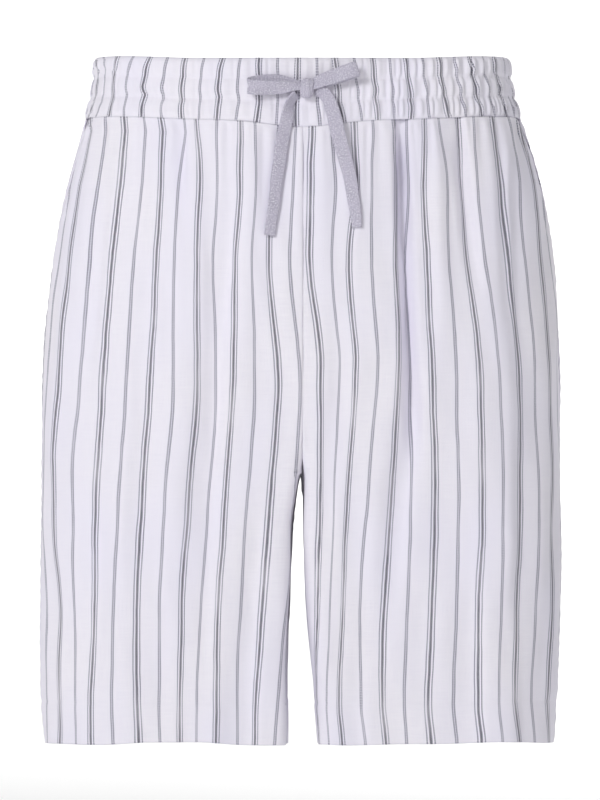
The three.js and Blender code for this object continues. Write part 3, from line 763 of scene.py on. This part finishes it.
def panel_base(name, heights, shares_of):
    side = 1 if name.endswith("right") else -1
    face = -1 if name.startswith("front") else 1
    grid, arcs, totals = [], [], []
    for z in heights:
        curve_total = arc_of(quarter_curve(z, side, face))[-1]
        shares = shares_of(z, side, face, curve_total)
        row, arc, total = base_row(name, z, side, face, shares)
        grid.append(row)
        arcs.append(arc)
        totals.append(total)
    return np.array(grid), np.array(arcs), np.array(totals), side, face


def stripe_map(name, heights, grid, arcs, side, face):
    numbers = []
    for z, row, arc in zip(heights, grid, arcs):
        if face < 0:
            table = STRIPES_RIGHT if side > 0 else STRIPES_LEFT
            numbers.append(stripe_number(table, STRIPE_HEIGHTS, row, arc, -92.0, 1 / REPEAT))
        else:
            rate = 1 + 0.22 * float(smooth(z, -120, BAND_BOTTOM))
            at = np.interp(50.0, np.abs(row[: int(np.argmax(np.abs(row[:, 0]))) + 1, 0]),
                           arc[: int(np.argmax(np.abs(row[:, 0]))) + 1])
            numbers.append(1.1 + (arc - at) * rate / REPEAT)
    return np.array(numbers)


def panel_relief(name, arcs, totals, numbers, heights, side, face):
    """How far the cloth stands out of its smooth form, in millimetres."""
    seed = ["front_right", "front_left", "back_right", "back_left"].index(name) * 10
    s = numbers * REPEAT
    z = heights[:, None]
    below = BAND_BOTTOM - z
    out = np.zeros_like(arcs)
    out += Ripple(seed + 1, -80, 420, 9.5, 0.4)(s) * 1.1 * np.exp(-below / 18) * (0.25 + 0.75 * smooth(below, 0, 7))
    out += Ripple(seed + 2, -80, 420, 19, 0.45)(s) * 1.0 * np.exp(-((below / 62) ** 1.5)) * smooth(below, 0, 12)
    out += Ripple(seed + 3, -80, 420, 46, 0.35)(s) * 0.9 * np.exp(-((below / 170) ** 2)) * smooth(below, 4, 60)
    out += Cloud(seed + 4, 60, 230)(s, z) * 0.7 * smooth(below, 20, 120)
    out += Cloud(seed + 5, 24, 90)(s, z) * 0.16
    from_inner = arcs
    from_side = totals[:, None] - arcs
    for distance, deep, seed_seam in ((from_inner, 0.4, 6), (from_side, 0.5, 7)):
        pucker = Ripple(seed + seed_seam, -500, 60, 10.5, 0.35)(z * np.ones_like(arcs))
        out -= deep * np.exp(-((distance / 1.4) ** 2))
        out += 0.3 * pucker * np.exp(-((distance - 4) / 5) ** 2)
    if face < 0:
        from_mouth = arcs[:, -1:] - arcs
        mouth = smooth(z, POCKET_FOOT - 2, POCKET_FOOT + 6)
        out += mouth * (0.5 * np.exp(-((from_mouth / 2.6) ** 2)) - 0.45 * np.exp(-(((from_mouth - 6) / 1.1) ** 2)))
    hem_top = HEM + HEM_DEPTH
    out -= 0.35 * np.exp(-(((z - hem_top) / 1.4) ** 2))
    out += 0.35 * smooth(z, hem_top + 2, hem_top - 5)
    hem_wave = Ripple(seed + 8, -80, 420, 60, 0.3)(s)
    out += hem_wave * 0.9 * smooth(z, HEM + 90, HEM)
    return out


def make_panel(name):
    def shares_of(z, side, face, total):
        reach = mouth_share(z, total) if face < 0 else 1.0
        return reach * column_share(z, side, face, np.linspace(0, 1, PANEL_COLUMNS + 1))

    grid, arcs, totals, side, face = panel_base(name, HEIGHTS, shares_of)
    numbers = stripe_map(name, HEIGHTS, grid, arcs, side, face)
    relief = panel_relief(name, arcs, totals, numbers, HEIGHTS, side, face)
    normal = grid_normals(grid)
    outward = grid[:, :, :2] - np.array([side * 95.0, 0])
    facing = np.sign(np.sum(normal[len(HEIGHTS) // 4, :, 1]) * face)
    normal *= facing if facing != 0 else 1
    # at the long seams the cloth keeps its gap to its neighbour
    edge = normal.copy()
    above = HEIGHTS > CROTCH
    edge[above, 0, 0] = 0
    edge[~above, 0, 1] = 0
    flat_side = np.ones(len(HEIGHTS), bool) if face > 0 else HEIGHTS <= POCKET_FOOT
    edge[flat_side, -1, 1] = 0
    edge /= np.maximum(np.linalg.norm(edge, axis=2, keepdims=True), 1e-9)
    outer = grid + edge * relief[:, :, None]
    tuck = np.exp(-np.maximum(BAND_BOTTOM - BAND_JOIN - HEIGHTS, 0) / 1.2)[:, None] * -0.1
    outer = outer - edge * tuck[:, :, None]
    thick = np.full(len(HEIGHTS), CLOTH)
    thick = thick + 0.9 * smooth(HEIGHTS, HEM + HEM_DEPTH + 1, HEM + HEM_DEPTH - 1)
    from_side = totals[:, None] - arcs
    allowance = 0.7 * (smooth(arcs, 11, 9.5) + smooth(from_side, 11, 9.5))
    walls = thick[:, None] + allowance * smooth(np.minimum(arcs, from_side), 0, 2)
    inner = outer - edge * walls[:, :, None]
    length = -np.concatenate([[0], np.cumsum(np.full(len(HEIGHTS) - 1, 0.0) + np.abs(np.diff(HEIGHTS)))])
    uv = np.stack([numbers, np.repeat(length[:, None] / REPEAT, numbers.shape[1], 1)], 2)
    o = closed_sheet(name + "_cloth", outer, inner, uv, uv, STRIPED)
    declare(o, "striped_cloth", name)
    cut = np.abs(np.diff(numbers, axis=1)).sum(1) * REPEAT
    area = float(np.sum((cut[1:] + cut[:-1]) / 2 * np.abs(np.diff(HEIGHTS))))
    print("PANEL", name, "widths", round(cut.min(), 1), round(cut.max(), 1), "area", round(area * 1e-6, 4),
          "quads", numbers.size)
    return o, area * MM * MM


PANELS = {}
for panel_name in FOLDS:
    PANELS[panel_name], panel_area = make_panel(panel_name)


def make_facing(side):
    name = "front_right" if side > 0 else "front_left"
    top = BAND_BOTTOM - BAND_SEAM
    heights = np.linspace(top, POCKET_FOOT - 6, 60)

    def shares_of(z, side, face, total):
        start = mouth_share(z, total) - POCKET_LAP / total
        return np.linspace(start, 1, 40)

    grid, arcs, totals, side, face = panel_base(name, heights, shares_of)
    normal = grid_normals(grid)
    if np.sum(normal[:, :, 1]) * face < 0:
        normal = -normal
    normal[:, -1, 1] = 0
    normal /= np.linalg.norm(normal, axis=2, keepdims=True)
    numbers = (totals[:, None] - arcs) / REPEAT + 0.05 * np.sin(heights / 17)[:, None]
    relief = -2.4 + 0.35 * Cloud(90 + side, 22, 40)(numbers * REPEAT, heights[:, None])
    outer = grid + normal * relief[:, :, None]
    inner = outer - normal * CLOTH
    uv = np.stack([numbers, np.repeat(-(top - heights)[:, None] / REPEAT, numbers.shape[1], 1)], 2)
    tag = "right" if side > 0 else "left"
    o = closed_sheet("pocket_facing_%s_cloth" % tag, outer, inner, uv, uv, STRIPED)
    declare(o, "striped_cloth", "pocket_facing_" + tag)


for facing_side in (1, -1):
    make_facing(facing_side)


# ---------------------------------------------------------------- waistband
CHANNELS = 3
BAND_INSIDE = 2.6
BEND = 0.045  # how far a stripe bends between two stitched rows, in repeats


def stripe_bend(channel, f, arc):
    """The gathers push the stripes outwards in the middle of a channel and draw them in at a stitched row."""
    if channel == 1:
        bend = 0.8 * math.exp(-(((f - 0.52) / 0.2) ** 2)) - math.exp(-(((f - 0.1) / 0.12) ** 2))
    elif channel == 0:
        bend = -0.9 * math.exp(-(((f - 0.95) / 0.2) ** 2)) + 0.35 * math.exp(-(((f - 0.45) / 0.25) ** 2))
    else:
        bend = 0.5 * math.exp(-(((f - 0.6) / 0.25) ** 2)) - 0.5 * math.exp(-(((f - 0.08) / 0.12) ** 2))
    uneven = 0.62 + 0.24 * np.sin(arc / 9.3 + 2 * channel) + 0.24 * np.sin(arc / 23.7 + channel)
    return BEND * bend * uneven * np.tanh(arc / 40)


def make_band(face):
    columns = 640
    share = np.linspace(0, 1, columns + 1)
    height_share = np.linspace(0, 1, 41)
    heights = BAND_BOTTOM + (BAND_TOP - BAND_BOTTOM) * height_share
    joins = np.array([BAND_BOTTOM, BAND_BOTTOM + 50 / 3, BAND_BOTTOM + 100 / 3, BAND_TOP])
    seeds = [300 + 20 * (face > 0) + i for i in range(CHANNELS)]
    waves = [Ripple(seed, -260, 260, 7.2, 0.45) for seed in seeds]
    slow = Ripple(280 + (face > 0), -260, 260, 31, 0.4)
    fine = Ripple(284 + (face > 0), -260, 260, 3.9, 0.45)
    outer, inner, uv = [], [], []
    for z in heights:
        points = np.zeros((columns + 1, 2))
        arc = np.zeros(columns + 1)
        for side in (-1, 1):
            curve = quarter_curve(z, side, face, True)
            length = arc_of(curve)
            mine = share <= 0.5 if side < 0 else share >= 0.5
            want = np.abs(share[mine] - 0.5) * 2 * length[-1]
            points[mine] = along(curve, length, want)
            arc[mine] = want * side
        points[share == 0.5, 0] = 0
        out = np.stack([points[:, 0] / 160**2, points[:, 1] / 100**2], 1)
        out /= np.linalg.norm(out, axis=1, keepdims=True)
        level = (z - BAND_BOTTOM) / (BAND_TOP - BAND_BOTTOM) * CHANNELS
        channel = min(int(level), CHANNELS - 1)
        f = level - channel
        puff = (1 - abs(2 * f - 1) ** 3.2) * CHANNEL_PUFF
        if channel == 0 and f < 0.5:
            puff = max(puff, 0.35)
        nearest = waves[channel](arc)
        other = waves[max(channel - 1, 0)](arc) if f < 0.5 else waves[min(channel + 1, CHANNELS - 1)](arc)
        blend = 0.5 * smooth(abs(f - 0.5), 0.32, 0.5)
        wave = nearest * (1 - blend) + other * blend
        strong = 0.85
        if face < 0:
            strong = 0.4 + 0.6 * smooth(points[:, 0], -20, 110) - 0.35 * smooth(points[:, 0], 125, 152)
        ends = smooth(share, 0, 0.02) * smooth(1 - share, 0, 0.02)
        pinch = 0.45 + 0.55 * math.sin(math.pi * f) ** 0.7
        if channel == 0:
            pinch *= 0.4 + 0.6 * float(smooth(f, 0, 0.3))
        gathers = wave * 1.4 * pinch + fine(arc) * 0.28
        off_seam = 0.15 + 0.85 * float(smooth(level, 0, 0.3))
        lift = puff + (gathers * strong + slow(arc) * 0.4) * ends * off_seam - 0.35
        shaped = points + out * lift[:, None]
        zs = z + seam_sag(points[:, 0], face, z)
        outer.append(np.concatenate([shaped, zs[:, None]], 1))
        hidden = -out * (BAND_INSIDE + 0.35 * wave * ends)[:, None]
        hidden[0] = (-math.copysign(BAND_INSIDE, points[0, 0]), 0)
        hidden[-1] = (-math.copysign(BAND_INSIDE, points[-1, 0]), 0)
        inner.append(np.concatenate([points + hidden, zs[:, None]], 1))
        if face < 0:
            number = stripe_number(BAND_STRIPES, BAND_HEIGHTS, outer[-1], arc, -98.0, 1.32 / REPEAT)
            number = number - stripe_bend(channel, f, arc)
        else:
            sway = 0.05 * np.sin(arc / 31) * math.sin(level * math.pi)
            number = arc * 1.32 / REPEAT + 0.3 + sway - stripe_bend(channel, f, arc)
        uv.append(np.stack([number, np.full(columns + 1, z / REPEAT)], 1))
    outer, inner, uv = np.array(outer), np.array(inner), np.array(uv)
    # rounded top edge
    for i, (shrink, drop) in enumerate([(1.5, 0.0), (0.55, 0.0), (0.15, 0.0)]):
        row = len(heights) - 1 - i
        towards = inner[row] - outer[row]
        outer[row] += towards * (shrink / 4.2)
        inner[row] -= towards * (shrink / 4.2)
    name = "waistband_front" if face < 0 else "waistband_back"
    if face > 0:
        pass
    o = closed_sheet(name + "_cloth", outer, inner, uv, uv, BAND_CLOTH)
    declare(o, "waistband_cloth", name)
    return o


for band_face in (-1, 1):
    make_band(band_face)


# ---------------------------------------------------------------- drawstring
def curve_through(points, count):
    """count points on a centripetal Catmull-Rom curve through the given ones, evenly spaced."""
    p = np.asarray(points, float)
    p = np.concatenate([[2 * p[0] - p[1]], p, [2 * p[-1] - p[-2]]])
    out = []
    for i in range(1, len(p) - 2):
        t = [0.0]
        for a, b in ((i - 1, i), (i, i + 1), (i + 1, i + 2)):
            t.append(t[-1] + max(np.linalg.norm(p[b] - p[a]), 1e-6) ** 0.5)
        for u in np.linspace(t[1], t[2], 24, endpoint=False):
            a1 = (t[1] - u) / (t[1] - t[0]) * p[i - 1] + (u - t[0]) / (t[1] - t[0]) * p[i]
            a2 = (t[2] - u) / (t[2] - t[1]) * p[i] + (u - t[1]) / (t[2] - t[1]) * p[i + 1]
            a3 = (t[3] - u) / (t[3] - t[2]) * p[i + 1] + (u - t[2]) / (t[3] - t[2]) * p[i + 2]
            b1 = (t[2] - u) / (t[2] - t[0]) * a1 + (u - t[0]) / (t[2] - t[0]) * a2
            b2 = (t[3] - u) / (t[3] - t[1]) * a2 + (u - t[1]) / (t[3] - t[1]) * a3
            out.append((t[2] - u) / (t[2] - t[1]) * b1 + (u - t[1]) / (t[2] - t[1]) * b2)
    out.append(p[-2])
    out = np.array(out)
    arc = np.concatenate([[0], np.cumsum(np.linalg.norm(np.diff(out, axis=0), axis=1))])
    want = np.linspace(0, arc[-1], count)
    return np.stack([np.interp(want, arc, out[:, k]) for k in range(out.shape[1])], 1)


RING = 24


def tape_mesh(name, centre, across, width, thick, material=None, seed=1, cap=True):
    """A flat woven tape along centre (N, 3), with across its width direction at each point and rounded edges."""
    n = len(centre)
    ahead = np.gradient(centre, axis=0)
    ahead /= np.linalg.norm(ahead, axis=1, keepdims=True)
    across = across - ahead * np.sum(across * ahead, 1, keepdims=True)
    across /= np.linalg.norm(across, axis=1, keepdims=True)
    up = np.cross(ahead, across)
    width = np.broadcast_to(width, n)
    thick = np.broadcast_to(thick, n)
    angle = np.linspace(0, 2 * math.pi, RING, endpoint=False)
    c, s = np.cos(angle), np.sin(angle)
    power = 0.42
    cu = np.sign(c) * np.abs(c) ** power
    cv = np.sign(s) * np.abs(s) ** 0.75
    arc = np.concatenate([[0], np.cumsum(np.linalg.norm(np.diff(centre, axis=0), axis=1))])
    fuzz = Cloud(seed, 3.0, 5.0)
    verts, uvs = [], []
    for i in range(n):
        edge = 1 + 0.012 * fuzz(arc[i] * np.ones(RING), angle * 2)
        ring = (centre[i] + across[i] * (cu * width[i] / 2 * edge)[:, None] + up[i] * (cv * thick[i] / 2)[:, None])
        verts.append(ring)
        girth = np.where(s >= 0, cu * width[i] / 2, width[i] - cu * width[i] / 2)
        uvs.append(np.stack([girth, np.full(RING, arc[i])], 1))
    verts, uvs = np.array(verts), np.array(uvs)
    quads = []
    for i in range(n - 1):
        for k in range(RING):
            k2 = (k + 1) % RING
            quads.append((i * RING + k, i * RING + k2, (i + 1) * RING + k2, (i + 1) * RING + k))
    faces = list(quads)
    if cap:
        faces.append(tuple(range(RING))[::-1])
        faces.append(tuple((n - 1) * RING + k for k in range(RING)))
    mesh = bpy.data.meshes.new(name)
    mesh.from_pydata((verts.reshape(-1, 3) * MM).tolist(), [], faces)
    layer = mesh.uv_layers.new(name="flat")
    flat = uvs.reshape(-1, 2)
    index = np.array([l.vertex_index for l in mesh.loops])
    layer.data.foreach_set("uv", flat[index].astype(np.float32).ravel())
    for poly in mesh.polygons:
        poly.use_smooth = True
    mesh.update()
    mesh.materials.append(material or TAPE)
    o = bpy.data.objects.new(name, mesh)
    scene.collection.objects.link(o)
    if sum(p.area * p.normal.dot(p.center - Vector(centre.mean(0) * MM)) for p in mesh.polygons) < 0:
        mesh.flip_normals()
    return o


TAIL_LEFT = [
    (-4.8, -6.6, 0.3), (-7.9, -9.8, 0.3), (-10.3, -14.6, 0.3), (-11.3, -20.6, 0.3), (-12.5, -27.3, 0.4),
    (-14, -34, 0.9), (-15.3, -40.6, 1.7), (-16.7, -48.6, 1.4), (-17.5, -57.2, 1), (-18.9, -66.2, 0.8),
    (-20.1, -74.8, 0.7), (-21.2, -83, 0.7), (-22.2, -91.3, 0.5), (-23.2, -98.7, 0.4), (-24.2, -105.8, 0.3),
    (-25, -112.6, 0.2),
]
TAIL_RIGHT = [
    (9.7, -3.8, 0.3), (14.6, -5.1, 0.3), (18.4, -9.8, 0.3), (21.1, -16.1, 0.3), (22.7, -21.7, 0.3),
    (24.2, -27.3, 0.4), (25.6, -33.7, 0.8), (27.4, -40.6, 1.7), (29.3, -47.3, 1.5), (31.1, -53.9, 1.1),
    (32.9, -60.2, 0.8), (34.7, -67, 0.7), (36, -74.8, 0.7), (37.2, -83, 0.7), (38.6, -90.5, 0.6),
    (39.6, -98, 0.4), (40.4, -106.6, 0.3),
]


TAIL_LIFT = 0.7  # a tilted tape's low edge stays off the cloth


def tail_route(table):
    clear = TAPE_CLEAR + TAPE_THICK / 2
    return np.array([(x, front_face(x, z) - clear - off, z) for x, z, off in table])


def make_tail(name, table, widths, seed, rolled, tilt):
    """One hanging end. It is rolled where it leaves the knot, and tilted about its length below that."""
    route = tail_route(table)
    centre = curve_through(route, 90)
    centre[:, 1] -= TAIL_LIFT
    ahead = np.gradient(centre, axis=0)
    ahead /= np.linalg.norm(ahead, axis=1, keepdims=True)
    across = np.cross(ahead, np.array([0, 1.0, 0]))
    t = np.linspace(0, 1, len(centre))
    roll = (tilt + (rolled - tilt) * (1 - smooth(t, 0.08, 0.2)))[:, None]
    across = across * np.cos(roll) + np.cross(ahead, across) * np.sin(roll)
    width = np.interp(t, *zip(*widths))
    thick = np.interp(t, [0, 0.08, 0.84, 0.86, 0.985, 1], [2.2, 1.7, 1.6, 2.1, 2.0, 1.2])
    o = tape_mesh(name + "_tape", centre, across, width, thick, seed=seed)
    declare(o, "drawstring_tape", name)
    path = (centre[::3] * MM).tolist()
    if len(centre) % 3 != 1:
        path.append((centre[-1] * MM).tolist())
    return o


make_tail("drawstring_tail_left", TAIL_LEFT,
          [(0, 9.5), (0.1, 10.5), (0.22, 9.8), (0.36, 10.4), (0.5, 9.6), (0.7, 8.8), (0.84, 8.8), (0.87, 8.4), (1, 8.4)], 5, -0.9, -0.22)
make_tail("drawstring_tail_right", TAIL_RIGHT,
          [(0, 9.0), (0.12, 10.4), (0.3, 11.5), (0.6, 10.6), (0.8, 9.6), (0.9, 9.0), (1, 7.6)], 6, 0.3, 0.24)

KNOT = (3.0, -2.3)
KNOT_SIZE = (11.0, 9.0, 15.5)
KNOT_Y = front_face(*KNOT) - TAPE_CLEAR - KNOT_SIZE[1] / 2


# The bow's loops, listed: x, z, how far the tape's middle stands off the waistband, the tape's width there,
# and how far its upper edge leans back
LOOP_LEFT = [
    (-0.5, -1.2, 4.8, 6.0, 0.5), (-5, -1.0, 5.6, 6.6, 0.35), (-10, -1.2, 6.4, 8.0, 0.1), (-16, -1.8, 7.2, 10.0, -0.3),
    (-23, -2.2, 7.6, 11.0, -0.32), (-31, -2.1, 8.8, 11.3, -0.25), (-37.5, -1.8, 8.6, 11.4, 0), (-40.6, -0.9, 7.0, 11.4, 0.05),
    (-38.6, 0.6, 4.4, 11.4, 0.1), (-32, 1.9, 2.9, 11.4, 0.1), (-24, 2.6, 2.1, 11.2, 0.1), (-16, 2.3, 2.2, 10.6, 0.1),
    (-9, 1.0, 2.6, 9.0, 0.2), (-4, 0.0, 3.2, 7.0, 0.3), (-0.5, -0.8, 3.4, 6.0, 0.5),
]
LOOP_RIGHT = [
    (6.5, 0.2, 4.4, 8.0, 0.4), (11, 2.2, 5.6, 9.4, 0.3), (17, 4.5, 6.6, 10.4, 0.15), (24, 6.8, 7.0, 11.0, 0.1),
    (31, 9.1, 9.0, 11.3, 0.05), (37, 11.1, 9.6, 11.3, 0.0), (40.6, 11.9, 8.4, 11.0, 0.0), (39.0, 11.0, 6.4, 11.0, 0.0),
    (33, 9.0, 4.6, 11.2, 0.0), (25, 6.3, 3.2, 11.2, 0.0), (17, 3.6, 2.3, 10.4, 0.1), (11, 1.6, 2.8, 9.0, 0.2),
    (6.5, 0.0, 3.2, 8.0, 0.4),
]


def make_loop(name, table, along_way, seed):
    rows = np.array(table)
    route = np.stack([rows[:, 0], BOW_Y - rows[:, 2], rows[:, 1]], 1)
    data = curve_through(np.concatenate([route, rows[:, 3:]], 1), 150)
    centre, width, lean = data[:, :3], data[:, 3], data[:, 4]
    up = np.array([-along_way[1], 0.0, along_way[0]])
    across = up[None, :] + np.stack([0 * lean, lean, 0 * lean], 1)
    o = tape_mesh(name + "_tape", centre, across, width, 1.5, seed=seed)
    declare(o, "drawstring_tape", name)
    return o


KNOT_OUT = 4.9
BOW_Y = KNOT_Y + KNOT_OUT
make_loop("drawstring_loop_left", LOOP_LEFT, (1.0, 0.0), 7)
make_loop("drawstring_loop_right", LOOP_RIGHT, (math.cos(math.radians(17)), math.sin(math.radians(17))), 8)


def make_knot():
    """The tape wrapped once round the bow's middle: a soft slanted wrap with turned-in edges and one fold."""
    rows, columns = 70, 72
    u = np.linspace(0, 2 * math.pi, columns, endpoint=False)
    cx, cz = KNOT
    half_x, half_y, half_z = KNOT_SIZE[0] / 2, KNOT_SIZE[1] / 2, KNOT_SIZE[2] / 2
    verts, uvs = [], []
    for t in np.linspace(-1, 1, rows):
        # around the wrap at each height: wide and flat at the front, drawn in at the top and the foot
        round_off = (1 - abs(t) ** 3.2) ** (1 / 2.4) if abs(t) < 1 else 0.0
        waist = 1 - 0.10 * math.exp(-((t - 0.15) / 0.35) ** 2)
        x = np.sign(np.cos(u)) * np.abs(np.cos(u)) ** 0.75 * half_x * round_off * waist
        y = np.sign(np.sin(u)) * np.abs(np.sin(u)) ** 0.7 * half_y * round_off
        front = smooth(-y / half_y, 0, 0.6)
        crease = 0.9 * np.exp(-((x - 2.6 + 1.1 * t) / 0.45) ** 2) * front
        hollow = 0.5 * np.exp(-((x + 1.4 - 0.8 * t) / 1.1) ** 2) * front
        lap = 0.5 * smooth(x, 2.7 - 1.1 * t, 3.3 - 1.1 * t) * front
        verts.append(np.stack([cx + x + 0.5 * t, KNOT_Y + y * 0.95 + crease + hollow * 0.5 + lap, cz + t * half_z + 0 * x], 1))
        uvs.append(np.stack([x * 1.1 + 8 + 0.8 * t, np.full(columns, t * half_z)], 1))
    verts, uvs = np.array(verts), np.array(uvs)
    faces = []
    for i in range(rows - 1):
        for k in range(columns):
            k2 = (k + 1) % columns
            faces.append((i * columns + k, i * columns + k2, (i + 1) * columns + k2, (i + 1) * columns + k))
    mesh = bpy.data.meshes.new("drawstring_knot_tape")
    mesh.from_pydata((verts.reshape(-1, 3) * MM).tolist(), [], faces)
    layer = mesh.uv_layers.new(name="flat")
    index = np.array([l.vertex_index for l in mesh.loops])
    layer.data.foreach_set("uv", uvs.reshape(-1, 2)[index].astype(np.float32).ravel())
    for poly in mesh.polygons:
        poly.use_smooth = True
    mesh.materials.append(TAPE)
    o = bpy.data.objects.new("drawstring_knot_tape", mesh)
    scene.collection.objects.link(o)
    declare(o, "drawstring_tape", "drawstring_knot")


make_knot()
